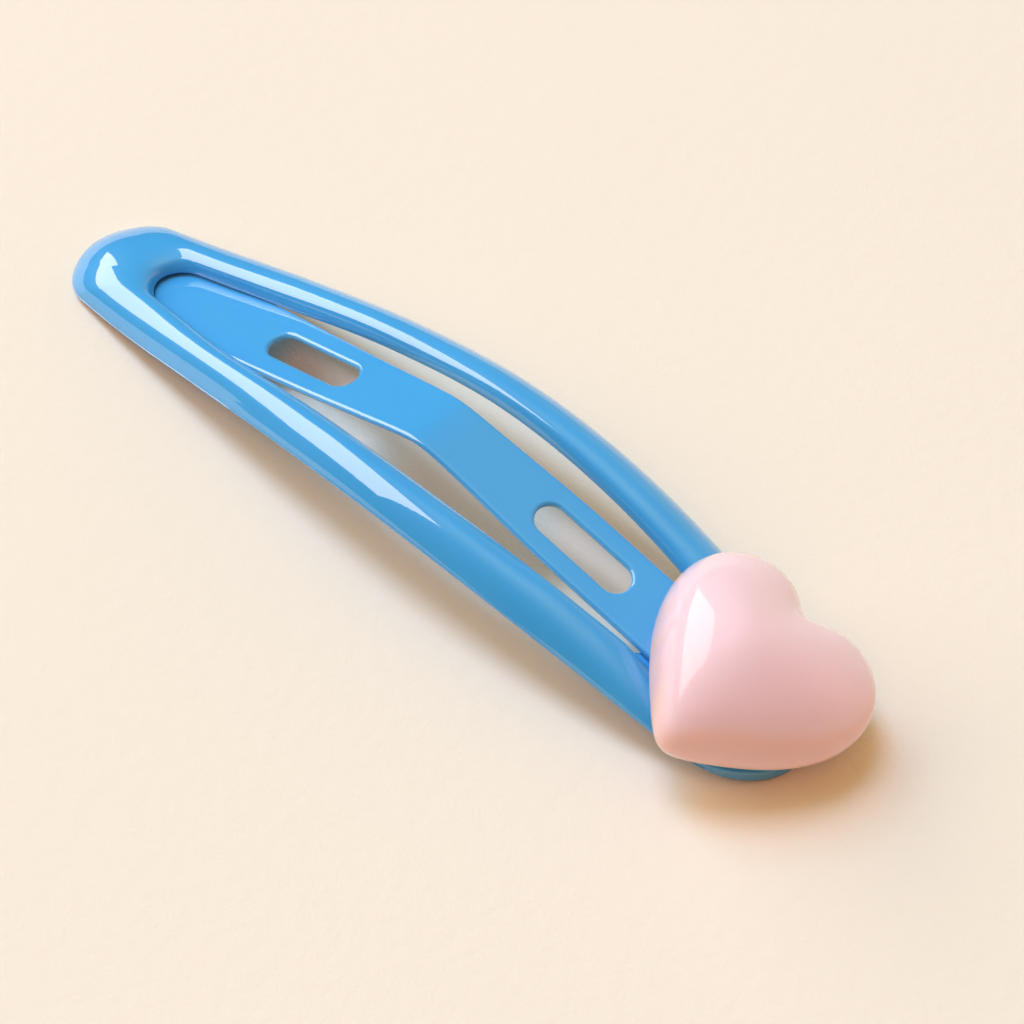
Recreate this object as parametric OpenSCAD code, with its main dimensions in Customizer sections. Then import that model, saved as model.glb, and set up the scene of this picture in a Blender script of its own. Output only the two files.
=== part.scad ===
// Snap hair clip: a bowed steel frame, a sprung tongue that snaps under its narrow tip,
// and a puffed heart glued over the wide end. X runs from the narrow tip to the wide end,
// Z is up, and the clip stands on z = 0 by the rims of its two ends.

/* [Overall] */
// Length of the frame from the narrow tip to the wide end
clip_len = 65; // [58:0.5:72]
// Greatest width across the two arms
clip_w = 14.7; // [13.2:0.1:16.5]
// Height of the arms' lower outer edge at the top of the bow
bow_h = 6.4; // [5:0.1:8]
// How far the lowest points of both ends are pressed flat, so that the clip stands steadily
foot_flat = 0.12; // [0.05:0.01:0.25]

/* [Frame] */
// Width of one arm between its lower edges
arm_w = 3.15; // [2.7:0.05:3.6]
// Height of an arm's crest above the line between its lower edges
arm_dome = 1.55; // [1.2:0.05:2]
// How much higher an arm's inner edge lies than its outer edge
arm_lift = 0.8; // [0.4:0.05:1.2]
// Thickness of the painted sheet of the frame
frame_t = 0.5; // [0.4:0.05:0.7]
// Distance from the narrow tip to the start of the opening
tip_solid = 7.2; // [6.4:0.1:8.6]
// Rounding of the narrow tip, measured along the clip
tip_round = 3.4; // [3:0.1:4.6]
// Rounding of the opening's narrow end, measured along the clip
mouth_round = 1.95; // [1.4:0.05:2.6]
// Distance from the opening's wide end to the wide end of the clip
base_len = 10.6; // [9.6:0.1:12]
// Rounding of the opening's wide end, measured along the clip
throat_round = 2.2; // [1.4:0.1:2.8]
// Rounding of the wide end, measured along the clip
heel_round = 6.1; // [5.4:0.1:7.4]
// Rounding of the turned-down rim of the wide end
rim_round = 0.9; // [0.6:0.05:1.2]

/* [Tongue] */
// Thickness of the painted sheet of the tongue
tongue_t = 0.55; // [0.4:0.05:0.7]
// Distance from the narrow tip to the free end of the tongue
tongue_start = 4.9; // [4.4:0.1:6]
// Width of the tongue's free end
tongue_tip_w = 6.7; // [6:0.1:7.4]
// Width of the tongue at its bend
tongue_waist_w = 4.5; // [4:0.1:5.2]
// Width of the tongue where it leaves the base
tongue_root_w = 5.25; // [4.4:0.05:5.4]
// Radius of the two corners of the tongue's free end
tongue_corner = 1.6; // [0.8:0.1:2.4]
// Place of the bend along the clip
bend_x = 34; // [31:0.1:38]
// Height of the bend above the top of the bow
bend_rise = 2.4; // [1.8:0.1:3]
// Softness of the bend
bend_soft = 0.35; // [0.2:0.05:0.8]
// How far the front half of the tongue hangs below a straight line
front_sag = 0.4; // [0:0.05:0.6]
// How far the tongue lies below the frame's edge at the opening's narrow end
mouth_gap = 0.32; // [0.25:0.05:0.7]

/* [Slots] */
// Middle of the front slot along the clip
front_slot_x = 22.3; // [20:0.1:25]
// Length of the front slot
front_slot_len = 8.1; // [6:0.1:10]
// Distance from the opening's wide end back to the middle of the rear slot
rear_slot_back = 7.9; // [7.2:0.1:10.4]
// Length of the rear slot
rear_slot_len = 7.8; // [6:0.1:8.6]
// Width of both slots
slot_w = 2.25; // [1.6:0.05:2.6]

/* [Hinge and rivet] */
// Distance from the opening's wide end to the line where the tongue flexes
flex_back = 1.3; // [1:0.1:1.8]
// Gap along that line between the moving tongue and its fixed root
flex_gap = 0.3; // [0.25:0.05:0.4]
// Distance from the opening's wide end to the end of the root that is lapped on the base
root_lap = 7.6; // [6.8:0.1:8.2]
// Gap between the root and the base under it
lap_gap = 0.05; // [0.03:0.01:0.1]
// Distance from the opening's wide end to the rivet
rivet_back = 4.4; // [3.4:0.1:5]
// Radius of the rivet's shank
rivet_r = 1; // [0.8:0.05:1.2]
// Radius of the rivet's lower head
rivet_head_r = 1.8; // [1.5:0.05:2.1]
// Height of the rivet's lower head
rivet_head_h = 0.4; // [0.3:0.05:0.5]
// Radius of the rivet's flared upper end
rivet_flare_r = 1.35; // [1.3:0.05:1.5]
// Clearance round the shank
rivet_fit = 0.04; // [0.02:0.01:0.08]

/* [Heart] */
// Width of the heart across its two lobes
heart_w = 15.1; // [13:0.1:17]
// Half height of the rounded body of the heart, from its middle to its point
heart_body = 6.5; // [5.6:0.1:7.2]
// How far the lobes are pushed up past the notch
heart_lobe = 3.15; // [2.6:0.05:4]
// Rounding of the notch
notch_soft = 0.12; // [0.06:0.01:0.2]
// Rounding of the point
point_soft = 0.23; // [0.1:0.01:0.3]
// How much the point and the notch are rounded off toward the top of the dome
heart_mellow = 1.45; // [0.8:0.05:2]
// How late that rounding sets in on the way up
mellow_power = 1.4; // [1:0.1:2]
// How quickly the lobes fade toward the top of the dome
heart_fade = 1.6; // [1:0.05:2]
// How far the top of the dome lies toward the notch; negative is toward the point
heart_drift = -1.55; // [-2:0.05:0.4]
// How far the top of the dome lies toward the wide end; negative is toward the tongue
heart_lean = -0.95; // [-1.4:0.05:0.4]
// Height of the dome above the widest line
heart_dome = 6.05; // [5:0.05:6.8]
// Fullness of the dome: higher is rounder, lower is more like a cone
dome_power = 1.17; // [1.1:0.01:2]
// Rounding of the top of the dome
peak_soft = 0.16; // [0.1:0.01:0.3]
// Depth of the rounded underside below the widest line
heart_under = 1.85; // [1.2:0.05:2.1]
// Distance of the heart's middle from the wide end of the clip
heart_back = 5.4; // [4.5:0.05:6]
// Sideways shift of the heart's middle
heart_side = -0.1; // [-0.6:0.05:1]
// Turn of the heart about its own upright line
heart_turn = -3.7; // [-8:0.1:4]
// Extra slope of the heart on its glue
heart_pitch = 0.3; // [-0.6:0.1:1]
// Thickness of the glue between the root and the heart
glue_t = 1.1; // [1:0.05:1.4]
// Gap that keeps glued and lapped faces apart
seat_gap = 0.07; // [0.05:0.01:0.1]
// Length of the glue spot along the clip
glue_len = 8; // [6:0.1:8.6]
// Width of the glue spot across the clip
glue_w = 5; // [3.6:0.1:5.2]

/* [Hidden] */
$fn = 48;

BLUE = [0.30, 0.62, 0.86];
PINK = [0.94, 0.76, 0.79];
STEEL = [0.72, 0.74, 0.77];
CLEAR = [0.93, 0.92, 0.90, 0.7];

tip_steps = 10;
arm_steps = 22;
heel_steps = 11;
section_steps = 11;
outline_steps = 12;
bend_steps = 6;
heart_around = 64;
heart_rows = 10;
under_rows = 3;

// Sections of the frame along the clip. Columns: share of the length, half width as a share
// of half the greatest width, edge height as a share of the bow, arm width, inner edge's
// lift and crest height as shares of their named sizes.
SHARE = 0;
HALF = 1;
RISE = 2;
ARM = 3;
LIFT = 4;
DOME = 5;
frame_rows = [
    [0.00, 0.52, 0.00, 1.03, 1.10, 1.00],
    [0.12, 0.673, 0.215, 1.04, 0.92, 1.00],
    [0.25, 0.805, 0.535, 1.015, 0.56, 1.00],
    [0.40, 0.927, 0.85, 1.01, 0.92, 1.00],
    [0.55, 1.00, 1.00, 1.01, 1.12, 1.00],
    [0.70, 0.98, 0.885, 1.055, 0.93, 1.00],
    [0.85, 0.87, 0.52, 1.085, 0.42, 0.96],
    [0.92, 0.775, 0.245, 1.05, 0.00, 0.86],
    [1.00, 0.76, 0.00, 1.05, 0.00, 0.80]
];

throat_x = clip_len - base_len;
hinge_x = throat_x - flex_back;
rear_slot_x = throat_x - rear_slot_back;
// Turn round the wide end over which an arm's dome flattens into the base
flatten_turn = 55;
// Margin beside the root, and width over which the pressed seat runs out
seat_margin = 0.3;
seat_runout = 0.5;
// Share by which the heart's foot lies inside its widest line
foot_inset = 0.24;

function clamp01(v) = min(1, max(0, v));
function ease(v) = let(c = clamp01(v)) c * c * (3 - 2 * c);
function mix(a, b, v) = a + (b - a) * v;

// Smooth curve through one column of the table, at a share of the length
function row_of(s) = max([for (i = [0 : len(frame_rows) - 2]) frame_rows[i][SHARE] <= s ? i : 0]);
function lean(c, i) =
    let(a = max(0, i - 1), b = min(len(frame_rows) - 1, i + 1))
    (frame_rows[b][c] - frame_rows[a][c]) / (frame_rows[b][SHARE] - frame_rows[a][SHARE]);
function column(c, x) =
    let(s = clamp01(x / clip_len), i = row_of(s), p = frame_rows[i], q = frame_rows[i + 1],
        w = q[SHARE] - p[SHARE], v = (s - p[SHARE]) / w, v2 = v * v, v3 = v2 * v)
    p[c] * (2 * v3 - 3 * v2 + 1) + lean(c, i) * w * (v3 - 2 * v2 + v)
    + q[c] * (3 * v2 - 2 * v3) + lean(c, i + 1) * w * (v3 - v2);

function half_out(x) = clip_w / 2 * column(HALF, x);
function half_in(x) = half_out(x) - arm_w * column(ARM, x);
function edge_z(x) = max(0, bow_h * column(RISE, x) - foot_flat);
function inner_z(x) = edge_z(x) + arm_lift * column(LIFT, x);
function crest(x) = arm_dome * column(DOME, x);

// Upper side of the tongue: two nearly straight halves that meet in a soft bend
bend_z = bow_h + bend_rise;
mouth_z = inner_z(tip_solid) - mouth_gap;
seat_h = edge_z(throat_x);
root_top = seat_h + lap_gap + tongue_t;
rear_slope = (root_top - bend_z) / (throat_x - bend_x);
front_slope = (bend_z - mouth_z) / (bend_x - tip_solid);
function front_z(x) =
    let(u = clamp01((x - tip_solid) / (bend_x - tip_solid)))
    mouth_z + (x - tip_solid) * front_slope - 4 * front_sag * u * (1 - u);
function rear_z(x) = bend_z + (x - bend_x) * rear_slope;
function tongue_z(x) =
    let(a = front_z(x), b = rear_z(x))
    (a + b - sqrt((a - b) * (a - b) + 4 * bend_soft * bend_soft)) / 2;
function tongue_lean(x) = (tongue_z(x + 0.05) - tongue_z(x - 0.05)) / 0.1;

// Top of the base plate, on which the tongue's root is lapped
function seat_z(x) = rear_z(x) - tongue_t * sqrt(1 + rear_slope * rear_slope) - lap_gap;

// Stations round the frame, from the tip along the far arm to the wide end.
// Each holds the outer edge's point, the inner edge's point and how flat the base is there.
function station(xo, turn_o, xi, turn_i, flat) =
    let(wall = crest(xo))
    [[xo, half_out(xo) * turn_o, edge_z(xo)],
     [xi, half_in(xi) * turn_i, mix(inner_z(xi), seat_z(xi) - wall, flat)], flat, wall];
tip_fan = [for (i = [0 : tip_steps]) let(a = 90 * i / tip_steps, k = 1 - cos(a))
    station(tip_round * k, sin(a), tip_solid + mouth_round * k, sin(a), 0)];
arm_run = [for (i = [1 : arm_steps - 1]) let(u = i / arm_steps)
    station(mix(tip_round, clip_len - heel_round, u), 1,
        mix(tip_solid + mouth_round, throat_x - throat_round, u), 1, 0)];
heel_fan = [for (i = [0 : heel_steps]) let(a = 90 * (1 - i / heel_steps), k = 1 - cos(a))
    station(clip_len - heel_round * k, sin(a), throat_x - throat_round * k, sin(a),
        ease((90 - a) / flatten_turn))];
half_loop = concat(tip_fan, arm_run, heel_fan);
last = len(half_loop) - 1;
function mirrored(s) = [[s[0].x, -s[0].y, s[0].z], [s[1].x, -s[1].y, s[1].z], s[2], s[3]];
loop = concat(half_loop, [for (i = [last - 1 : -1 : 1]) mirrored(half_loop[i])]);

// One section of the frame: over the outer skin, then back under the inner skin
function plate_curve(t, width) = let(c = clamp01(t * width / rim_round)) sqrt(c * (2 - c));
function pressed(p, depth) =
    let(limit = seat_z(p.x) - depth, beside = abs(p.y) - tongue_root_w / 2 - seat_margin,
        near = 1 - ease(beside / seat_runout))
    p.x < throat_x - throat_round ? p : [p.x, p.y, p.z - max(0, p.z - limit) * near];
function skin(s, from, to, wall, depth) =
    let(out = s[0], inn = s[1], flat = s[2], width = norm([inn.x - out.x, inn.y - out.y]),
        rim = frame_t / width)
    [for (i = [0 : section_steps])
        let(a = 180 * i / section_steps, t = mix(from, to, (1 - cos(a)) / 2),
            level = mix(out.z, inn.z, clamp01((t - rim) / (1 - 2 * rim))),
            raise = mix(sin(a), plate_curve(t - from, width), flat))
        pressed([mix(out.x, inn.x, t), mix(out.y, inn.y, t), level + wall * raise], depth)];
function section(s) =
    let(width = norm([s[1].x - s[0].x, s[1].y - s[0].y]), rim = frame_t / width,
        under = skin(s, rim, 1 - rim * (1 - s[2]), s[3] - frame_t, frame_t))
    concat(skin(s, 0, 1, s[3], 0), [for (i = [section_steps : -1 : 0]) under[i]]);

// A closed tube of equal sections that returns to its first one
module ring_body(sections) {
    count = len(sections);
    n = len(sections[0]);
    points = [for (s = sections) each s];
    faces = [for (i = [0 : count - 1]) for (j = [0 : n - 1])
        let(a = i * n + j, b = i * n + (j + 1) % n, k = (i + 1) % count,
            c = k * n + (j + 1) % n, d = k * n + j)
        each [[a, b, c], [a, c, d]]];
    polyhedron(points, faces, convexity = 6);
}

// Places a child on the sloped top of the base plate
module on_seat(x, y, rise) {
    translate([x, y, seat_z(x)])
        rotate([0, atan(-rear_slope), 0])
            translate([0, 0, rise]) children();
}

module rivet_hole() {
    on_seat(throat_x + rivet_back, 0, -2 * frame_t)
        cylinder(r = rivet_r + rivet_fit, h = 2 * frame_t + 2 * tongue_t);
}

module frame() {
    color(BLUE) difference() {
        ring_body([for (s = loop) section(s)]);
        rivet_hole();
    }
}

// Side view of the tongue's sheet between two places along the clip
module sheet_side(from, to) {
    xs = [for (i = [0 : outline_steps]) mix(from, to, i / outline_steps)];
    reach = 5 * bend_soft;
    soft = [for (i = [-bend_steps : bend_steps]) bend_x + reach * i / bend_steps];
    all_x = from < bend_x && to > bend_x
        ? concat([for (x = xs) if (x < bend_x - 1.2 * reach) x], soft,
            [for (x = xs) if (x > bend_x + 1.2 * reach) x])
        : xs;
    upper = [for (x = all_x) [x, tongue_z(x)]];
    lower = [for (x = all_x) let(g = tongue_lean(x), k = tongue_t / sqrt(1 + g * g))
        [x + g * k, tongue_z(x) - k]];
    polygon(concat(upper, [for (i = [len(lower) - 1 : -1 : 0]) lower[i]]));
}

// Length behind the bend over which the tongue widens again
widening = 2 / 3 * (hinge_x - bend_x);
function tongue_half(x) = x < bend_x
    ? mix(tongue_tip_w, tongue_waist_w, (x - tongue_start) / (bend_x - tongue_start)) / 2
    : mix(tongue_waist_w, tongue_root_w, ease((x - bend_x) / widening)) / 2;

// Half of the tongue's plan outline, with its free end's corner as an arc
module tongue_plan(to) {
    corner_x = tongue_start + tongue_corner;
    corner = [for (i = [0 : 6]) let(a = 15 * i)
        [corner_x - tongue_corner * cos(a),
         tongue_half(corner_x) - tongue_corner * (1 - sin(a))]];
    side = [for (i = [1 : 2 * outline_steps]) let(x = mix(corner_x, to, i / (2 * outline_steps)))
        [x, tongue_half(x)]];
    far = concat(corner, side);
    polygon(concat(far, [for (i = [len(far) - 1 : -1 : 0]) [far[i].x, -far[i].y]]));
}

module slot(x, length, slope) {
    reach = length / 2 - slot_w / 2;
    translate([x, 0, tongue_z(x)]) rotate([0, -atan(slope), 0]) {
        for (end = [-reach, reach])
            translate([end, 0, -2 * tongue_t]) cylinder(d = slot_w, h = 4 * tongue_t);
        translate([-reach, -slot_w / 2, -2 * tongue_t]) cube([2 * reach, slot_w, 4 * tongue_t]);
    }
}

module tongue() {
    tongue_end = hinge_x - flex_gap / 2;
    color(BLUE) difference() {
        intersection() {
            translate([0, clip_w, 0]) rotate([90, 0, 0])
                linear_extrude(2 * clip_w) sheet_side(tongue_start, tongue_end);
            linear_extrude(bend_z + bow_h) tongue_plan(clip_len);
        }
        slot(front_slot_x, front_slot_len, front_slope);
        slot(rear_slot_x, rear_slot_len, rear_slope);
    }
}

module tongue_root() {
    root_start = hinge_x + flex_gap / 2;
    root_end = throat_x + root_lap;
    color(BLUE) difference() {
        translate([0, tongue_root_w / 2, 0]) rotate([90, 0, 0])
            linear_extrude(tongue_root_w) sheet_side(root_start, root_end);
        rivet_hole();
        on_seat(throat_x + rivet_back, 0, lap_gap + tongue_t / 2)
            cylinder(r1 = rivet_r + rivet_fit, r2 = rivet_flare_r + rivet_fit, h = tongue_t / 2);
        on_seat(throat_x + rivet_back, 0, lap_gap + tongue_t)
            cylinder(r = rivet_flare_r + rivet_fit, h = tongue_t / 2);
    }
}

module rivet() {
    low = -frame_t - seat_gap;
    flare_start = lap_gap + tongue_t / 2;
    flare_h = tongue_t / 2 - seat_gap;
    flare_top = mix(rivet_r, rivet_flare_r, flare_h / (tongue_t / 2));
    color(STEEL) on_seat(throat_x + rivet_back, 0, 0) rotate_extrude()
        polygon([[0, low - rivet_head_h], [rivet_head_r, low - rivet_head_h], [rivet_head_r, low],
            [rivet_r, low], [rivet_r, flare_start], [flare_top, flare_start + flare_h],
            [0, flare_start + flare_h]]);
}

heart_x = clip_len - heart_back;
heart_rise = lap_gap + tongue_t + glue_t;

module glue() {
    color(CLEAR) on_seat(throat_x + root_lap / 2, 0, lap_gap + tongue_t + seat_gap)
        linear_extrude(glue_t - 2 * seat_gap)
            polygon([for (a = [0 : 12 : 348]) [glue_len / 2 * cos(a), glue_w / 2 * sin(a)]]);
}

// Rounding of the notch and of the point on one ring of the heart
function softness(share, a) = mix(notch_soft, point_soft, (1 - cos(a)) / 2)
    + heart_mellow * pow(1 - share, mellow_power);
// Share by which the lobes are pushed out at one place across the heart
function push(v, soft) = ln(1 + v * v / (soft * soft)) / ln(1 + 1 / (soft * soft)) - 0.5;
// One ring of the heart: shrunk by a share and drawn toward the top of the dome, notch toward +Y
function heart_ring(share, z, drawn) =
    [for (i = [0 : heart_around - 1]) let(a = 360 * i / heart_around)
        [heart_w / 2 * share * sin(a) + heart_lean * drawn,
         heart_body * share * cos(a) + heart_drift * drawn
            + heart_lobe * pow(share, heart_fade) * push(sin(a), softness(share, a)), z]];
// Height of the dome over a ring of that share, with its peak rounded
function dome_height(share) =
    let(soft = (norm([share, peak_soft]) - peak_soft) / (norm([1, peak_soft]) - peak_soft))
    heart_dome * sqrt(max(0, 1 - pow(soft, dome_power)));

module heart() {
    rings = concat(
        [for (i = [under_rows : -1 : 1]) let(a = 90 * i / under_rows)
            heart_ring(1 - foot_inset * (1 - cos(a)), heart_under * (1 - sin(a)), 0)],
        [for (i = [0 : heart_rows - 1]) let(share = cos(90 * i / heart_rows))
            heart_ring(share, heart_under + dome_height(share), 1 - share * share)]);
    n = heart_around;
    top = len(rings) * n;
    peak = [heart_lean, heart_drift, heart_under + heart_dome];
    points = concat([for (r = rings) each r], [peak, [0, 0, 0]]);
    sides = [for (i = [0 : len(rings) - 2]) for (j = [0 : n - 1])
        let(a = i * n + j, b = i * n + (j + 1) % n, c = a + n, d = b + n)
        each [[a, b, d], [a, d, c]]];
    caps = [for (j = [0 : n - 1]) let(k = (j + 1) % n)
        each [[(len(rings) - 1) * n + j, (len(rings) - 1) * n + k, top], [k, j, top + 1]]];
    color(PINK) translate([heart_x, heart_side, seat_z(heart_x)])
        rotate([0, atan(-rear_slope) + heart_pitch, 0])
            translate([0, 0, heart_rise]) rotate([0, 0, heart_turn])
                polyhedron(points, concat(sides, caps), convexity = 4);
}

frame();
tongue();
tongue_root();
rivet();
glue();
heart();
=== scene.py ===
"""Looks of a snap hair clip: a bowed blue frame, a sprung tongue and a puffed pink heart.

Lengths of the clip, its materials and the camera are millimetres; those of the lights, the
paper and the backdrop are metres, and all meshes end up in metres. X runs from the narrow tip to the wide end, Y points to
the side of the heart's notch, and Z is up. The near arm is the one on the side of -Y.
"""

import math

import bmesh
import bpy
import numpy as np
from mathutils import Matrix, Vector


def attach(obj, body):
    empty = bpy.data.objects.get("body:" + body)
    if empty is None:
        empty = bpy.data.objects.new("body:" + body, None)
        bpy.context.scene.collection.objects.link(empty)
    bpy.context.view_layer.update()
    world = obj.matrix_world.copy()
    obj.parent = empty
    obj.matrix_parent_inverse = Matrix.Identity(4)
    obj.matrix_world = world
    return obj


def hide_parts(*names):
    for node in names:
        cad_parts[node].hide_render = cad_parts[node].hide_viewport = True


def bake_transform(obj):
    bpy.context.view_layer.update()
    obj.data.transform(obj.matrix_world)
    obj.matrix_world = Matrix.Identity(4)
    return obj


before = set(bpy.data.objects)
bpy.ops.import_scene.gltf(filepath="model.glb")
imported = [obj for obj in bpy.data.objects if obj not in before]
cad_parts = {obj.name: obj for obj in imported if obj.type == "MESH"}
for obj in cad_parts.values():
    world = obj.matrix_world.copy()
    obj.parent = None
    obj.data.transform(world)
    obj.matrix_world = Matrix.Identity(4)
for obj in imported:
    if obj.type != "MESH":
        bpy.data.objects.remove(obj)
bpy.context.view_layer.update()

MM = 0.001
# Points of a mesh that lie nearer than this, in metres, are joined
WELD = 1e-7

# Sizes of the solids

CLIP_LEN = 65.0
CLIP_W = 14.7
BOW_H = 6.4
FOOT_FLAT = 0.12

ARM_W = 3.15
ARM_DOME = 1.55
ARM_LIFT = 0.8
FRAME_T = 0.5
TIP_SOLID = 7.2
TIP_ROUND = 3.4
MOUTH_ROUND = 1.95
BASE_LEN = 10.6
THROAT_ROUND = 2.2
HEEL_ROUND = 6.1
RIM_ROUND = 0.9
FLATTEN_TURN = 55.0
SEAT_MARGIN = 0.3
SEAT_RUNOUT = 0.5

TONGUE_T = 0.55
TONGUE_START = 4.9
TONGUE_TIP_W = 6.7
TONGUE_WAIST_W = 4.5
TONGUE_ROOT_W = 5.25
TONGUE_CORNER = 1.6
BEND_X = 34.0
BEND_RISE = 2.4
BEND_SOFT = 0.35
FRONT_SAG = 0.4
MOUTH_GAP = 0.32
FRONT_SLOT_X = 22.3
FRONT_SLOT_LEN = 8.1
REAR_SLOT_BACK = 7.9
REAR_SLOT_LEN = 7.8
SLOT_W = 2.25
FLEX_BACK = 1.3
ROOT_LAP = 7.6
LAP_GAP = 0.05

HEART_W = 15.1
HEART_BODY = 6.5
HEART_LOBE = 3.15
NOTCH_SOFT = 0.12
POINT_SOFT = 0.23
HEART_MELLOW = 1.45
MELLOW_POWER = 1.4
HEART_FADE = 1.6
HEART_DRIFT = -1.55
HEART_LEAN = -0.95
HEART_DOME = 6.05
DOME_POWER = 1.17
PEAK_SOFT = 0.16
HEART_UNDER = 1.85
HEART_BACK = 5.4
HEART_SIDE = -0.1
HEART_TURN = -3.7
HEART_PITCH = 0.3
FOOT_INSET = 0.24
GLUE_T = 1.1

# Sections of the frame along the clip. Columns: share of the length, half width as a share
# of half the greatest width, edge height as a share of the bow, arm width, inner edge's
# lift and crest height as shares of their named sizes.
SHARE, HALF, RISE, ARM, LIFT, DOME = range(6)
FRAME_ROWS = np.array([
    [0.00, 0.52, 0.00, 1.03, 1.10, 1.00],
    [0.12, 0.673, 0.215, 1.04, 0.92, 1.00],
    [0.25, 0.805, 0.535, 1.015, 0.56, 1.00],
    [0.40, 0.927, 0.85, 1.01, 0.92, 1.00],
    [0.55, 1.00, 1.00, 1.01, 1.12, 1.00],
    [0.70, 0.98, 0.885, 1.055, 0.93, 1.00],
    [0.85, 0.87, 0.52, 1.085, 0.42, 0.96],
    [0.92, 0.775, 0.245, 1.05, 0.00, 0.86],
    [1.00, 0.76, 0.00, 1.05, 0.00, 0.80],
])

THROAT_X = CLIP_LEN - BASE_LEN
HINGE_X = THROAT_X - FLEX_BACK
REAR_SLOT_X = THROAT_X - REAR_SLOT_BACK
BEND_Z = BOW_H + BEND_RISE


# Shape functions, the same as the solids have


def clamp01(v):
    return np.clip(v, 0.0, 1.0)


def ease(v):
    c = clamp01(v)
    return c * c * (3 - 2 * c)


def mix(a, b, v):
    return a + (b - a) * v


def column(c, x):
    """Smooth curve through one column of the section table."""
    shares, values = FRAME_ROWS[:, SHARE], FRAME_ROWS[:, c]
    before = np.maximum(np.arange(len(shares)) - 1, 0)
    after = np.minimum(np.arange(len(shares)) + 1, len(shares) - 1)
    lean = (values[after] - values[before]) / (shares[after] - shares[before])
    s = clamp01(np.asarray(x, float) / CLIP_LEN)
    i = np.clip(np.searchsorted(shares, s, side="right") - 1, 0, len(shares) - 2)
    w = shares[i + 1] - shares[i]
    v = (s - shares[i]) / w
    return (
        values[i] * (2 * v**3 - 3 * v**2 + 1) + lean[i] * w * (v**3 - 2 * v**2 + v)
        + values[i + 1] * (3 * v**2 - 2 * v**3) + lean[i + 1] * w * (v**3 - v**2)
    )


def half_out(x):
    """Distance of an arm's outer edge from the middle line."""
    return CLIP_W / 2 * column(HALF, x)


def half_in(x):
    """Distance of an arm's inner edge from the middle line."""
    return half_out(x) - ARM_W * column(ARM, x)


def edge_z(x):
    """Height of the outer edge."""
    return np.maximum(0.0, BOW_H * column(RISE, x) - FOOT_FLAT)


def inner_z(x):
    """Height of the inner edge."""
    return edge_z(x) + ARM_LIFT * column(LIFT, x)


def crest(x):
    """Height of an arm's dome over its edges."""
    return ARM_DOME * column(DOME, x)


MOUTH_Z = float(inner_z(TIP_SOLID)) - MOUTH_GAP
ROOT_TOP = float(edge_z(THROAT_X)) + LAP_GAP + TONGUE_T
REAR_SLOPE = (ROOT_TOP - BEND_Z) / (THROAT_X - BEND_X)
FRONT_SLOPE = (BEND_Z - MOUTH_Z) / (BEND_X - TIP_SOLID)
LEAN_STEP = 0.05


def rear_z(x):
    """Upper side of the tongue's rear half, a straight slope."""
    return BEND_Z + (x - BEND_X) * REAR_SLOPE


def tongue_z(x):
    """Upper side of the tongue: two nearly straight halves that meet in a soft bend."""
    u = clamp01((x - TIP_SOLID) / (BEND_X - TIP_SOLID))
    front = MOUTH_Z + (x - TIP_SOLID) * FRONT_SLOPE - 4 * FRONT_SAG * u * (1 - u)
    rear = rear_z(x)
    return (front + rear - np.sqrt((front - rear) ** 2 + 4 * BEND_SOFT**2)) / 2


def tongue_lean(x):
    """Slope of the tongue at a place."""
    return (tongue_z(x + LEAN_STEP) - tongue_z(x - LEAN_STEP)) / (2 * LEAN_STEP)


def seat_z(x):
    """Top of the base plate, on which the tongue's root is lapped."""
    return rear_z(x) - TONGUE_T * math.sqrt(1 + REAR_SLOPE**2) - LAP_GAP


def on_seat(points, x, y, rise):
    """Places points given about a spot on the sloped base plate into the clip's frame."""
    turn = math.atan(-REAR_SLOPE)
    px, py, pz = points[..., 0], points[..., 1], points[..., 2] + rise
    return np.stack([
        x + px * math.cos(turn) + pz * math.sin(turn),
        y + py,
        seat_z(x) - px * math.sin(turn) + pz * math.cos(turn),
    ], axis=-1)


# Mesh helpers


def mesh_object(name, points, faces):
    """A smooth-shaded object from millimetre points and faces."""
    mesh = bpy.data.meshes.new(name)
    mesh.from_pydata((np.asarray(points) * MM).tolist(), [], [list(f) for f in faces])
    work = bmesh.new()
    work.from_mesh(mesh)
    bmesh.ops.remove_doubles(work, verts=work.verts, dist=WELD)
    bmesh.ops.recalc_face_normals(work, faces=work.faces)
    for face in work.faces:
        face.smooth = True
    work.to_mesh(mesh)
    work.free()
    obj = bpy.data.objects.new(name, mesh)
    bpy.context.scene.collection.objects.link(obj)
    return obj


def grid_faces(rows, columns, wrap_rows=False, wrap_columns=False, start=0):
    """Quads of a grid whose points are numbered row by row."""
    faces = []
    for i in range(rows if wrap_rows else rows - 1):
        for j in range(columns if wrap_columns else columns - 1):
            k, m = (i + 1) % rows, (j + 1) % columns
            faces.append((start + i * columns + j, start + i * columns + m,
                          start + k * columns + m, start + k * columns + j))
    return faces


def rounded_corner(before, corner, after, cut, steps):
    """Points that round one corner of many polylines at once."""
    a = before - corner
    b = after - corner
    a = a / np.linalg.norm(a, axis=-1, keepdims=True) * cut
    b = b / np.linalg.norm(b, axis=-1, keepdims=True) * cut
    return [corner + a * (1 - s) ** 2 + b * s**2 for s in np.linspace(0, 1, steps)]


# Frame

TIP_STEPS = 40
ARM_STEPS = 150
HEEL_STEPS = 46
OUTER_STEPS = 30
INNER_STEPS = 18
RIM_CUT = 0.2
LIP_CUT = 0.07
CUT_STEPS = 5
PRESS_SOFT = 0.06
PRESS_FADE = 1.2
# The near arm is bent a little more sharply than the far one, and its inner edge hangs lower
# and reaches further in. Each of these grows along a first stretch and fades along a last one.
NEAR_CREST = 0.7
NEAR_SLUMP = 0.25
NEAR_REACH = 0.3
NEAR_CREST_START = (4.0, 16.0)
NEAR_EDGE_START = (18.0, 28.0)
NEAR_END = (46.0, 53.0)
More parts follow.
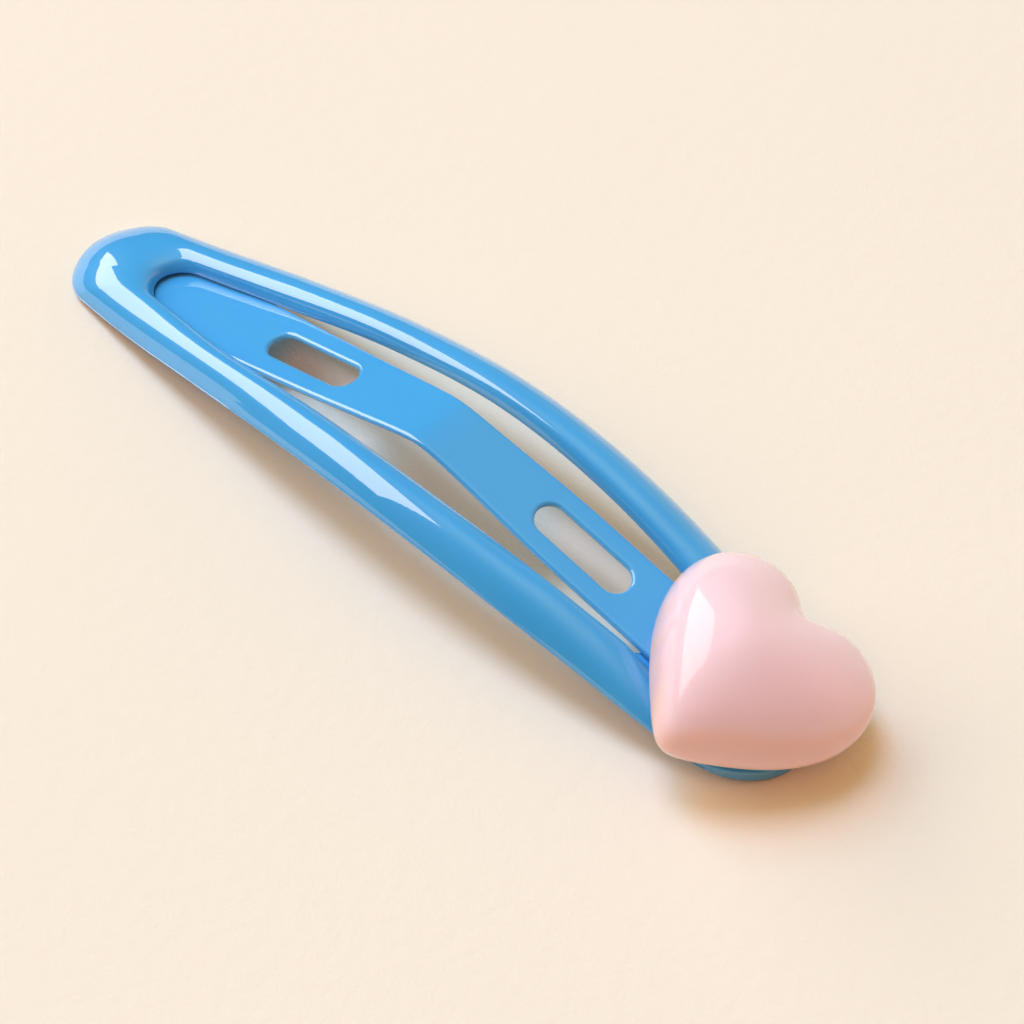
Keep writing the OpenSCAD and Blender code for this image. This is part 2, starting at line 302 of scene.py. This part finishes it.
# Columns of a station: outer edge, inner edge, share of flatness, crest height and sharpness
XO, YO, ZO, XI, YI, ZI, FLAT, WALL, SHARP = range(9)


def frame_stations():
    """Stations round the frame, from the tip along the far arm to the wide end and back."""
    rows = []

    def add(xo, turn_o, xi, turn_i, flat):
        wall = crest(xo)
        zi = mix(inner_z(xi), seat_z(xi) - wall, flat)
        rows.append([xo, half_out(xo) * turn_o, edge_z(xo), xi, half_in(xi) * turn_i, zi,
                     flat, wall, 1.0])

    for a in np.radians(np.linspace(0, 90, TIP_STEPS + 1)):
        k = 1 - math.cos(a)
        add(TIP_ROUND * k, math.sin(a), TIP_SOLID + MOUTH_ROUND * k, math.sin(a), 0.0)
    for u in np.linspace(0, 1, ARM_STEPS + 1)[1:-1]:
        add(mix(TIP_ROUND, CLIP_LEN - HEEL_ROUND, u), 1.0,
            mix(TIP_SOLID + MOUTH_ROUND, THROAT_X - THROAT_ROUND, u), 1.0, 0.0)
    for d in np.linspace(90, 0, HEEL_STEPS + 1):
        a = math.radians(d)
        k = 1 - math.cos(a)
        add(CLIP_LEN - HEEL_ROUND * k, math.sin(a), THROAT_X - THROAT_ROUND * k, math.sin(a),
            float(ease((90 - d) / FLATTEN_TURN)))
    half = np.array(rows, float)
    # the near side is walked back, without the two stations on the middle line
    back = half[-2:0:-1].copy()
    back[:, [YO, YI]] *= -1

    def grown(start, end):
        return ease((back[:, 0] - start) / (end - start))

    left = 1 - grown(*NEAR_END)
    edge = grown(*NEAR_EDGE_START) * left
    back[:, YI] += NEAR_REACH * edge
    back[:, ZI] -= NEAR_SLUMP * edge
    back[:, SHARP] += NEAR_CREST * grown(*NEAR_CREST_START) * left
    return np.concatenate([half, back])


def pressed(p, depth):
    """Presses the skin down to the seat where the tongue's root lies on it."""
    limit = seat_z(p[..., 0]) - depth
    over = p[..., 2] - limit
    over = (over + np.sqrt(over**2 + PRESS_SOFT**2)) / 2
    near = 1 - ease((np.abs(p[..., 1]) - TONGUE_ROOT_W / 2 - SEAT_MARGIN) / SEAT_RUNOUT)
    reach = ease((p[..., 0] - THROAT_X + THROAT_ROUND + PRESS_FADE) / PRESS_FADE)
    p[..., 2] -= over * near * reach
    return p


def skin(stations, low, high, wall, depth, steps):
    """One skin of the frame between two shares of the arm's width, with its own crest height."""
    xo, yo, zo, xi, yi, zi, flat, _, sharp = stations.T[:, :, None]
    low, high, wall = [np.asarray(v, float).reshape(-1, 1) for v in (low, high, wall)]
    a = np.linspace(0, math.pi, steps + 1)[None, :]
    width = np.hypot(xi - xo, yi - yo)
    rim = FRAME_T / width
    t = mix(low, high, (1 - np.cos(a)) / 2)
    level = mix(zo, zi, clamp01((t - rim) / (1 - 2 * rim)))
    c = clamp01((t - low) * width / RIM_ROUND)
    raised = mix(clamp01(np.sin(a)) ** sharp, np.sqrt(c * (2 - c)), flat)
    p = np.stack([mix(xo, xi, t), mix(yo, yi, t), level + wall * raised], axis=-1)
    return pressed(p, depth)


def make_frame():
    """The hollow domed channel: an outer skin, an inner skin and the rounded rims between."""
    st = frame_stations()
    count = len(st)
    width = np.hypot(st[:, XI] - st[:, XO], st[:, YI] - st[:, YO])
    rim = FRAME_T / width
    outer = skin(st, np.zeros(count), np.ones(count), st[:, WALL], 0.0, OUTER_STEPS)
    inner = skin(st, rim, 1 - rim * (1 - st[:, FLAT]), st[:, WALL] - FRAME_T, FRAME_T,
                 INNER_STEPS)
    loop = [outer[:, k] for k in range(OUTER_STEPS + 1)]
    loop += [inner[:, k] for k in range(INNER_STEPS, -1, -1)]
    corners = {0: RIM_CUT, OUTER_STEPS: LIP_CUT, OUTER_STEPS + 1: LIP_CUT,
               OUTER_STEPS + 1 + INNER_STEPS: RIM_CUT}
    section = []
    for k, p in enumerate(loop):
        if k in corners:
            section += rounded_corner(loop[k - 1], p, loop[(k + 1) % len(loop)],
                                      corners[k], CUT_STEPS)
        else:
            section.append(p)
    points = np.stack(section, axis=1)
    n = points.shape[1]
    return mesh_object("painted_frame", points.reshape(-1, 3),
                       grid_faces(count, n, wrap_rows=True, wrap_columns=True))


# Tongue

SHEET_STEP = 0.5
BEND_STEP = 0.12
BEND_REACH = 2.0
ARC_STEPS = 12
ACROSS = 8
EDGE_ROUND = 0.26
EDGE_BAND = 0.15
EDGE_STEPS = 5
SLOT_CLEAR = 0.3
ROOT_STRIP = 1.0
ROOT_END = THROAT_X + ROOT_LAP
WAIST_GROWTH = 2 / 3


def tongue_half(x):
    """Half of the tongue's width at a place along the clip."""
    front = mix(TONGUE_TIP_W, TONGUE_WAIST_W, (x - TONGUE_START) / (BEND_X - TONGUE_START)) / 2
    grow = ease((x - BEND_X) / (WAIST_GROWTH * (HINGE_X - BEND_X)))
    rear = mix(TONGUE_WAIST_W, TONGUE_ROOT_W, grow) / 2
    return np.where(x < BEND_X, front, rear)


def tongue_stations(inset):
    """Place, slot half width and outer half width of each cross line, for one inset."""
    corner_x = TONGUE_START + TONGUE_CORNER
    radius = TONGUE_CORNER - inset
    corner_y = float(tongue_half(corner_x)) - TONGUE_CORNER
    rows = [(corner_x - radius * math.cos(a), 0.0, corner_y + radius * math.sin(a))
            for a in np.linspace(0, math.pi / 2, ARC_STEPS + 1)]

    def line(x):
        """A cross line with no slot in it."""
        rows.append((x, 0.0, float(tongue_half(x)) - inset))

    def plain(start, end, step=SHEET_STEP):
        """Cross lines strictly between two places."""
        count = max(2, round((end - start) / step))
        for x in np.linspace(start, end, count + 1)[1:-1]:
            line(x)

    def slotted(x, length, slope):
        """Cross lines that follow the outline of a slot."""
        flat = math.cos(math.atan(slope))
        reach = (length / 2 - SLOT_W / 2) * flat
        r = SLOT_W / 2 + inset
        turns = np.linspace(0, math.pi / 2, ARC_STEPS + 1)
        for a in turns:
            place = x - reach - r * flat * math.cos(a)
            rows.append((place, r * math.sin(a), float(tongue_half(place)) - inset))
        for place in np.linspace(x - reach, x + reach, ARC_STEPS)[1:-1]:
            rows.append((place, r, float(tongue_half(place)) - inset))
        for a in turns[::-1]:
            place = x + reach + r * flat * math.cos(a)
            rows.append((place, r * math.sin(a), float(tongue_half(place)) - inset))

    # the plain stretches end where the slots' widest rounding can reach
    front_reach = FRONT_SLOT_LEN / 2 + EDGE_ROUND + SLOT_CLEAR
    rear_reach = REAR_SLOT_LEN / 2 + EDGE_ROUND + SLOT_CLEAR
    marks = [FRONT_SLOT_X - front_reach, FRONT_SLOT_X + front_reach, BEND_X - BEND_REACH,
             BEND_X + BEND_REACH, REAR_SLOT_X - rear_reach, REAR_SLOT_X + rear_reach]
    plain(corner_x, marks[0])
    line(marks[0])
    slotted(FRONT_SLOT_X, FRONT_SLOT_LEN, FRONT_SLOPE)
    line(marks[1])
    plain(marks[1], marks[2])
    line(marks[2])
    plain(marks[2], marks[3], BEND_STEP)
    line(marks[3])
    plain(marks[3], marks[4])
    line(marks[4])
    slotted(REAR_SLOT_X, REAR_SLOT_LEN, REAR_SLOPE)
    line(marks[5])
    plain(marks[5], ROOT_END - ROOT_STRIP)
    line(ROOT_END - ROOT_STRIP)
    line(ROOT_END - inset)
    return np.array(rows)


def sheet_point(x, y, depth):
    """A point of the tongue's sheet, a depth below its upper side."""
    g = tongue_lean(x)
    k = 1 / np.sqrt(1 + g * g)
    return np.stack([x + depth * g * k, y, tongue_z(x) - depth * k], axis=-1)


def make_tongue():
    """The tongue and its root as one sheet, with rounded edges and two slots."""
    turns = np.linspace(0, math.pi / 2, EDGE_STEPS + 1)
    low = TONGUE_T - EDGE_ROUND
    profile = [(EDGE_ROUND * (1 - math.sin(a)), EDGE_ROUND * (1 - math.cos(a))) for a in turns]
    profile += [(EDGE_ROUND * (1 - math.cos(a)), low + EDGE_ROUND * math.sin(a)) for a in turns]
    points, faces = [], []
    base = tongue_stations(EDGE_ROUND)
    band = EDGE_BAND / (base[:, 2:3] - base[:, 1:2])
    share = np.append(np.linspace(0, 1, ACROSS)[None, :] * (1 - band), np.ones_like(band), axis=1)
    for side in (1, -1):
        for depth in (0.0, TONGUE_T):
            x = np.repeat(base[:, 0:1], ACROSS + 1, axis=1)
            y = side * mix(base[:, 1:2], base[:, 2:3], share)
            start = sum(len(p) for p in points)
            points.append(sheet_point(x, y, np.full_like(x, depth)).reshape(-1, 3))
            faces += grid_faces(len(base), ACROSS + 1, start=start)
    rings = [(tongue_stations(inset), depth) for inset, depth in profile]

    def wall(lines):
        """Closes the edge along one run of cross lines; lines gives its points per ring."""
        start = sum(len(p) for p in points)
        strips = [lines(rows, depth) for rows, depth in rings]
        points.extend(strips)
        faces.extend(grid_faces(len(strips), len(strips[0]), start=start))

    for side in (1, -1):
        wall(lambda rows, depth: sheet_point(rows[:, 0], side * rows[:, 2],
                                             np.full(len(rows), depth)))
        for end in (0, -1):
            wall(lambda rows, depth: sheet_point(
                np.full(ACROSS + 1, rows[end, 0]),
                side * mix(rows[end, 1], rows[end, 2], share[end]), np.full(ACROSS + 1, depth)))
        slot_rows = [i for i in range(1, len(base) - 1)
                     if max(base[i - 1, 1], base[i, 1], base[i + 1, 1]) > 0]
        splits = [k for k in range(1, len(slot_rows)) if slot_rows[k] - slot_rows[k - 1] > 1]
        for run in (slot_rows[: splits[0]], slot_rows[splits[0]:]):
            wall(lambda rows, depth: sheet_point(rows[run, 0], side * rows[run, 1],
                                                 np.full(len(run), depth)))
    return mesh_object("painted_tongue", np.concatenate(points), faces)


# Heart

HEART_AROUND = 144
HEART_ROWS = 20
HEART_UNDER_ROWS = 6


def heart_ring(share, z, drawn):
    """One level of the heart: its outline shrunk by a share, drawn toward the peak."""
    a = np.linspace(0, 2 * math.pi, HEART_AROUND, endpoint=False)
    soft = mix(NOTCH_SOFT, POINT_SOFT, (1 - np.cos(a)) / 2) \
        + HEART_MELLOW * (1 - share) ** MELLOW_POWER
    push = np.log(1 + (np.sin(a) / soft) ** 2) / np.log(1 + 1 / soft**2) - 0.5
    return np.stack([
        HEART_W / 2 * share * np.sin(a) + HEART_LEAN * drawn,
        HEART_BODY * share * np.cos(a) + HEART_LOBE * share**HEART_FADE * push
        + HEART_DRIFT * drawn,
        np.full(HEART_AROUND, z),
    ], axis=-1)


def dome_height(share):
    """Height of the dome over its widest line, where the outline is shrunk by a share."""
    soft = (math.hypot(share, PEAK_SOFT) - PEAK_SOFT) / (math.hypot(1, PEAK_SOFT) - PEAK_SOFT)
    return HEART_DOME * math.sqrt(max(0.0, 1 - soft**DOME_POWER))


def make_heart():
    """The puffed heart, turned and tilted a little where it is glued on."""
    quarter = math.pi / 2
    rings = [heart_ring(1 - FOOT_INSET * (1 - math.cos(a)), HEART_UNDER * (1 - math.sin(a)), 0.0)
             for a in np.linspace(quarter, 0, HEART_UNDER_ROWS, endpoint=False)]
    rings += [heart_ring(share, HEART_UNDER + dome_height(share), 1 - share**2)
              for share in np.cos(np.linspace(0, quarter, HEART_ROWS, endpoint=False))]
    peak = np.array([[HEART_LEAN, HEART_DRIFT, HEART_UNDER + HEART_DOME]])
    foot = np.array([[0.0, 0.0, 0.0]])
    points = np.concatenate(rings + [peak, foot])
    faces = grid_faces(len(rings), HEART_AROUND, wrap_columns=True)
    last = (len(rings) - 1) * HEART_AROUND
    n = HEART_AROUND
    faces += [(last + j, last + (j + 1) % n, len(points) - 2) for j in range(n)]
    faces += [((j + 1) % n, j, len(points) - 1) for j in range(n)]
    turn, pitch = math.radians(HEART_TURN), math.radians(HEART_PITCH)
    x, y = points[:, 0].copy(), points[:, 1].copy()
    points[:, 0] = x * math.cos(turn) - y * math.sin(turn)
    points[:, 1] = x * math.sin(turn) + y * math.cos(turn)
    rise = LAP_GAP + TONGUE_T + GLUE_T
    x, z = points[:, 0].copy(), points[:, 2] + rise
    points[:, 0] = x * math.cos(pitch) + z * math.sin(pitch)
    points[:, 2] = z * math.cos(pitch) - x * math.sin(pitch)
    points = on_seat(points, CLIP_LEN - HEART_BACK, HEART_SIDE, 0.0)
    heart = mesh_object("puffed_heart", points, faces)
    smooth = heart.modifiers.new("round", "SUBSURF")
    smooth.levels = smooth.render_levels = 1
    return heart


# Materials. Sizes of grains and depths of bumps are millimetres.

# Spans of a noise's values that are drawn out to a full change
NOISE_SPREAD = (0.3, 0.7)
CLOUD_SPREAD = (0.35, 0.65)
ENAMEL_DEEP = (0.060, 0.388, 0.790)
ENAMEL_PALE = (0.070, 0.412, 0.820)
ENAMEL_COAT_IOR = 1.75
ROSE_DEEP = (0.970, 0.670, 0.715)
ROSE_PALE = (0.990, 0.690, 0.735)
# Painted shade and painted floor reflection: the heart is peach where its normal points up less
# than the first level, and rose above the second
PAINTED_REFLECTION_PEACH = (0.985, 0.62, 0.60)
PAINTED_REFLECTION_UP_TO = 0.30
PAINTED_REFLECTION_GONE_AT = 0.48
HEART_COAT_IOR = 1.37
GLUE_TINT = (0.95, 0.94, 0.93, 1.0)
STEEL_TINT = (0.60, 0.61, 0.63, 1.0)
PAPER_DEEP = (0.895, 0.80, 0.665)
PAPER_PALE = (0.905, 0.81, 0.675)


class Paint:
    """A node material, built line by line."""

    def __init__(self, name):
        self.material = bpy.data.materials.new(name)
        self.material.use_nodes = True
        self.tree = self.material.node_tree
        self.tree.nodes.clear()
        self.surface = self.node("ShaderNodeBsdfPrincipled")
        output = self.node("ShaderNodeOutputMaterial")
        self.link(self.surface.outputs["BSDF"], output.inputs["Surface"])
        self.place = self.node("ShaderNodeTexCoord").outputs["Object"]

    def node(self, kind, **values):
        made = self.tree.nodes.new(kind)
        for key, value in values.items():
            setattr(made, key, value)
        return made

    def link(self, out, into):
        self.tree.links.new(out, into)

    def set(self, **values):
        for key, value in values.items():
            self.surface.inputs[key.replace("_", " ")].default_value = value

    def noise(self, size, detail=2.0, rough=0.5, stretch=(1, 1, 1)):
        """Noise whose grains are about size millimetres across."""
        scaled = self.node("ShaderNodeMapping")
        scaled.inputs["Scale"].default_value = [s / (size * MM) for s in stretch]
        self.link(self.place, scaled.inputs["Vector"])
        made = self.node("ShaderNodeTexNoise")
        made.inputs["Scale"].default_value = 1.0
        made.inputs["Detail"].default_value = detail
        made.inputs["Roughness"].default_value = rough
        self.link(scaled.outputs["Vector"], made.inputs["Vector"])
        return made.outputs["Fac"]

    def remap(self, value, low, high, to_low, to_high):
        made = self.node("ShaderNodeMapRange")
        for key, number in zip(("From Min", "From Max", "To Min", "To Max"),
                               (low, high, to_low, to_high)):
            made.inputs[key].default_value = number
        self.link(value, made.inputs["Value"])
        return made.outputs["Result"]

    def blend(self, share, a, b):
        made = self.node("ShaderNodeMix", data_type="RGBA")
        self.link(share, made.inputs["Factor"])
        for socket, colour in (("A", a), ("B", b)):
            target = next(s for s in made.inputs if s.name == socket and s.type == "RGBA")
            if isinstance(colour, tuple):
                target.default_value = (*colour, 1.0)
            else:
                self.link(colour, target)
        return next(s for s in made.outputs if s.type == "RGBA")

    def cloudy(self, size, a, b, spread=CLOUD_SPREAD, detail=2.0):
        """A colour that drifts between two others."""
        share = self.remap(self.noise(size, detail=detail), *spread, 0.0, 1.0)
        return self.blend(share, a, b)

    def uneven(self, size, low, high):
        """Lets the roughness wander between two values."""
        self.link(self.remap(self.noise(size), *NOISE_SPREAD, low, high),
                  self.surface.inputs["Roughness"])

    def bump(self, height, strength, distance, after=None):
        made = self.node("ShaderNodeBump")
        made.inputs["Strength"].default_value = strength
        made.inputs["Distance"].default_value = distance * MM
        self.link(height, made.inputs["Height"])
        if after is not None:
            self.link(after, made.inputs["Normal"])
        return made.outputs["Normal"]

    def wavy(self, size, strength, distance=0.1):
        """Faint waves in a poured or dipped surface and in its gloss."""
        wave = self.bump(self.noise(size, detail=1.0), strength, distance)
        self.link(wave, self.surface.inputs["Normal"])
        self.link(wave, self.surface.inputs["Coat Normal"])


def blue_enamel():
    """Dipped enamel: a soft colour under a clear, even gloss."""
    paint = Paint("blue_enamel")
    paint.link(paint.cloudy(9.0, ENAMEL_DEEP, ENAMEL_PALE), paint.surface.inputs["Base Color"])
    paint.uneven(1.6, 0.30, 0.38)
    paint.set(Coat_Weight=1.0, Coat_Roughness=0.02, Coat_IOR=ENAMEL_COAT_IOR, IOR=1.45,
              Specular_IOR_Level=0.1)
    paint.wavy(1.5, strength=0.02)
    return paint.material


def pink_resin():
    """Slightly clear rose resin. The peach where it turns to its edge is painted shade and a
    painted reflection of the floor.
    """
    paint = Paint("pink_resin")
    upper = paint.cloudy(5.0, ROSE_DEEP, ROSE_PALE)
    # painted shade and painted floor reflection: peach on the lower flanks, chosen by how far the
    # surface's normal points up
    facing = paint.node("ShaderNodeSeparateXYZ")
    paint.link(paint.node("ShaderNodeTexCoord").outputs["Normal"], facing.inputs["Vector"])
    painted_reflection_fade = paint.remap(facing.outputs["Z"], PAINTED_REFLECTION_UP_TO, PAINTED_REFLECTION_GONE_AT, 0.0, 1.0)
    paint.link(paint.blend(painted_reflection_fade, PAINTED_REFLECTION_PEACH, upper), paint.surface.inputs["Base Color"])
    paint.set(Roughness=0.3, IOR=1.45, Specular_IOR_Level=0.1, Coat_Weight=1.0,
              Coat_Roughness=0.02, Coat_IOR=HEART_COAT_IOR,
              Subsurface_Weight=0.2, Subsurface_Radius=(2.0 * MM, 0.9 * MM, 0.7 * MM),
              Subsurface_Scale=1.0)
    paint.wavy(2.6, strength=0.015)
    return paint.material


def clear_glue():
    """A clear, slightly wavy bead."""
    paint = Paint("clear_glue")
    paint.set(Base_Color=GLUE_TINT, Roughness=0.08, IOR=1.47, Transmission_Weight=0.9)
    wave = paint.bump(paint.noise(0.8), strength=0.2, distance=0.1)
    paint.link(wave, paint.surface.inputs["Normal"])
    return paint.material


def plain_steel():
    """Bare steel with faint scratches along the clip."""
    paint = Paint("plain_steel")
    paint.set(Base_Color=STEEL_TINT, Metallic=1.0)
    paint.uneven(0.5, 0.28, 0.42)
    scratch = paint.bump(paint.noise(0.15, stretch=(1, 8, 8)), strength=0.1, distance=0.03)
    paint.link(scratch, paint.surface.inputs["Normal"])
    return paint.material


def cream_paper():
    """Warm off-white paper with a pulp grain."""
    paint = Paint("cream_paper")
    paint.link(paint.cloudy(40.0, PAPER_DEEP, PAPER_PALE, NOISE_SPREAD, detail=3.0),
               paint.surface.inputs["Base Color"])
    paint.set(Roughness=0.75, IOR=1.35)
    pulp = paint.bump(paint.noise(1.2, detail=4.0, rough=0.6), strength=0.55, distance=0.12)
    fine = paint.bump(paint.noise(0.3), strength=0.35, distance=0.03, after=pulp)
    paint.link(fine, paint.surface.inputs["Normal"])
    return paint.material


def paint_all(obj, material):
    obj.data.materials.clear()
    obj.data.materials.append(material)


# Camera, at the photograph's angle

CAM_TURN = math.radians(42.02)
CAM_ELEVATION = math.radians(52.84)
CAM_DISTANCE = 206.44
CAM_SHIFT_RIGHT = -5.827
CAM_SHIFT_UP = 1.642
CAM_LENS = 108.0
CAM_SENSOR = 36.0
CAM_NEAREST = 10.0


def make_camera():
    right = Vector((math.cos(CAM_TURN), math.sin(CAM_TURN), 0))
    back = Vector((math.sin(CAM_TURN) * math.cos(CAM_ELEVATION),
                   -math.cos(CAM_TURN) * math.cos(CAM_ELEVATION), math.sin(CAM_ELEVATION)))
    up = back.cross(right)
    middle = Vector((CLIP_LEN / 2, 0, 0))
    spot = middle + back * CAM_DISTANCE - right * CAM_SHIFT_RIGHT - up * CAM_SHIFT_UP
    data = bpy.data.cameras.new("camera")
    data.lens = CAM_LENS
    data.sensor_width = CAM_SENSOR
    data.clip_start = CAM_NEAREST * MM
    camera = bpy.data.objects.new("camera", data)
    turned = Matrix((right, up, back)).transposed().to_4x4()
    camera.matrix_world = Matrix.Translation(spot * MM) @ turned
    bpy.context.scene.collection.objects.link(camera)
    bpy.context.scene.camera = camera


# Light: a broad window at the left of the view, two cool soft lamps high on that side, a warm
# fill from the viewer's side and a dark sky with three soft glows

WINDOW_FACING = 215.0
WINDOW_DISTANCE = 1.0
GLINT_DISTANCE = 0.98
WINDOW_SIDES = (-1.96, 0.51)
GLINT_SIDES = (-1.30, 0.42)
HEART_GLINT_SIDES = (-1.62, -1.30)
WINDOW_HEIGHTS = (0.27, 1.60)
GLINT_HEIGHTS = (0.32, 1.60)
WINDOW_GLOW = 2.1
WINDOW_COLOUR = (1.0, 0.90, 0.76)
GLINT_GLOW = 5.4
GLINT_COLOUR = (1.0, 0.88, 0.84)
LAMP_SPREAD = math.radians(22.0)
SKY_SHARPNESS = 7.0
# Azimuth and elevation in degrees, strength and colour
SOFT_LAMPS = {
    "high_lamp": (180, 76, 1.42, (0.52, 0.635, 1.0)),
    "side_lamp": (180, 58, 0.86, (0.20, 0.62, 1.0)),
    "warm_fill": (300, 58, 0.60, (1.0, 0.30, 0.08)),
}
# Azimuth and elevation in degrees, and colour
SKY_GLOWS = [
    (0, 90, (0.90, 0.90, 0.34)),
    (45, 6, (1.30, 0.82, 0.66)),
    (90, 6, (0.55, 0.56, 0.28)),
]


def toward(azimuth, elevation):
    """Unit direction of a place in the sky, as seen from the clip."""
    a, e = math.radians(azimuth), math.radians(elevation)
    return Vector((math.cos(a) * math.cos(e), math.sin(a) * math.cos(e), math.sin(e)))


def window_light(name, distance, sides, heights, radiance, colour):
    """An upright pane of even brightness that faces the clip."""
    width = sides[1] - sides[0]
    height = heights[1] - heights[0]
    data = bpy.data.lights.new(name, "AREA")
    data.shape = "RECTANGLE"
    data.size, data.size_y = width, height
    data.energy = math.pi * width * height * radiance
    data.color = colour
    pane = bpy.data.objects.new(name, data)
    away, up = toward(WINDOW_FACING, 0), Vector((0, 0, 1))
    side = up.cross(away)
    spot = Vector((CLIP_LEN / 2 * MM, 0, 0)) + away * distance \
        + side * sum(sides) / 2 + up * sum(heights) / 2
    pane.matrix_world = Matrix.Translation(spot) @ Matrix((side, up, away)).transposed().to_4x4()
    bpy.context.scene.collection.objects.link(pane)
    return pane


def soft_lamp(name, azimuth, elevation, strength, colour):
    """A far lamp that lights surfaces without showing in their gloss."""
    data = bpy.data.lights.new(name, "SUN")
    data.angle = LAMP_SPREAD
    data.energy = strength
    data.color = colour
    lamp = bpy.data.objects.new(name, data)
    lamp.rotation_euler = toward(azimuth, elevation).to_track_quat("Z", "Y").to_euler()
    lamp.visible_glossy = False
    bpy.context.scene.collection.objects.link(lamp)


def make_sky():
    """A sky that is dark but for its soft round glows."""
    world = bpy.data.worlds.new("studio")
    bpy.context.scene.world = world
    world.use_nodes = True
    tree = world.node_tree

    def node(kind, operation, *values):
        made = tree.nodes.new(kind)
        made.operation = operation
        for socket, value in zip(made.inputs, values):
            if isinstance(value, bpy.types.NodeSocket):
                tree.links.new(value, socket)
            else:
                socket.default_value = value
        return made

    ray = tree.nodes.new("ShaderNodeTexCoord").outputs["Generated"]
    total = (0.0, 0.0, 0.0)
    for azimuth, elevation, colour in SKY_GLOWS:
        near = node("ShaderNodeVectorMath", "DOT_PRODUCT", ray, toward(azimuth, elevation))
        fall = node("ShaderNodeMath", "MULTIPLY_ADD", near.outputs["Value"],
                    SKY_SHARPNESS, -SKY_SHARPNESS)
        share = node("ShaderNodeMath", "EXPONENT", fall.outputs[0])
        total = node("ShaderNodeVectorMath", "MULTIPLY_ADD",
                     share.outputs[0], colour, total).outputs[0]
    tree.links.new(total, tree.nodes["Background"].inputs["Color"])


def make_light():
    """The window, once for matt surfaces and once as a glint in glossy ones, lamps and sky."""
    window = window_light("window", WINDOW_DISTANCE, WINDOW_SIDES, WINDOW_HEIGHTS,
                          WINDOW_GLOW, WINDOW_COLOUR)
    window.visible_glossy = False
    glint = window_light("window_glint", GLINT_DISTANCE, GLINT_SIDES, GLINT_HEIGHTS,
                         GLINT_GLOW, GLINT_COLOUR)
    glint.visible_diffuse = False
    for name, values in SOFT_LAMPS.items():
        soft_lamp(name, *values)
    make_sky()


# Paper and backdrop

FLOOR_HALF = 0.8
BACKDROP_RADIUS = 3.0
BACKDROP_COLOUR = (0.93, 0.87, 0.78, 1.0)


def make_floor(material):
    """The sheet of paper on which the clip lies."""
    work = bmesh.new()
    bmesh.ops.create_grid(work, x_segments=8, y_segments=8, size=FLOOR_HALF)
    mesh = bpy.data.meshes.new("paper")
    work.to_mesh(mesh)
    work.free()
    floor = bpy.data.objects.new("paper", mesh)
    bpy.context.scene.collection.objects.link(floor)
    paint_all(floor, material)


def make_backdrop():
    """A pale dome behind low views, which neither lights the clip nor shows in its gloss."""
    work = bmesh.new()
    bmesh.ops.create_icosphere(work, subdivisions=4, radius=BACKDROP_RADIUS)
    mesh = bpy.data.meshes.new("backdrop")
    work.to_mesh(mesh)
    work.free()
    dome = bpy.data.objects.new("backdrop", mesh)
    bpy.context.scene.collection.objects.link(dome)
    paint = Paint("backdrop")
    paint.set(Base_Color=(0.0, 0.0, 0.0, 1.0), Specular_IOR_Level=0.0,
              Emission_Color=BACKDROP_COLOUR, Emission_Strength=1.0)
    paint_all(dome, paint.material)
    for flag in ("diffuse", "glossy", "transmission", "volume_scatter", "shadow"):
        setattr(dome, "visible_" + flag, False)


# The scene

make_camera()
make_light()
make_floor(cream_paper())
make_backdrop()
bpy.context.scene.view_settings.view_transform = "Standard"

enamel = blue_enamel()
frame_piece = make_frame()
paint_all(frame_piece, enamel)
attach(frame_piece, "clip")
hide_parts("frame")

tongue_piece = make_tongue()
paint_all(tongue_piece, enamel)
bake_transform(tongue_piece)
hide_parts("tongue", "tongue_root")

# The window's glint reaches further to one side in the heart than in the enamel
heart_piece = make_heart()
heart_only = bpy.data.collections.new("heart_only")
heart_only.objects.link(heart_piece)
heart_glint = window_light("heart_glint", GLINT_DISTANCE, HEART_GLINT_SIDES, GLINT_HEIGHTS,
                           GLINT_GLOW, GLINT_COLOUR)
heart_glint.visible_diffuse = False
heart_glint.light_linking.receiver_collection = heart_only
paint_all(heart_piece, pink_resin())
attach(heart_piece, "clip")
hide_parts("heart")

paint_all(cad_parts["glue"], clear_glue())
paint_all(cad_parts["rivet"], plain_steel())
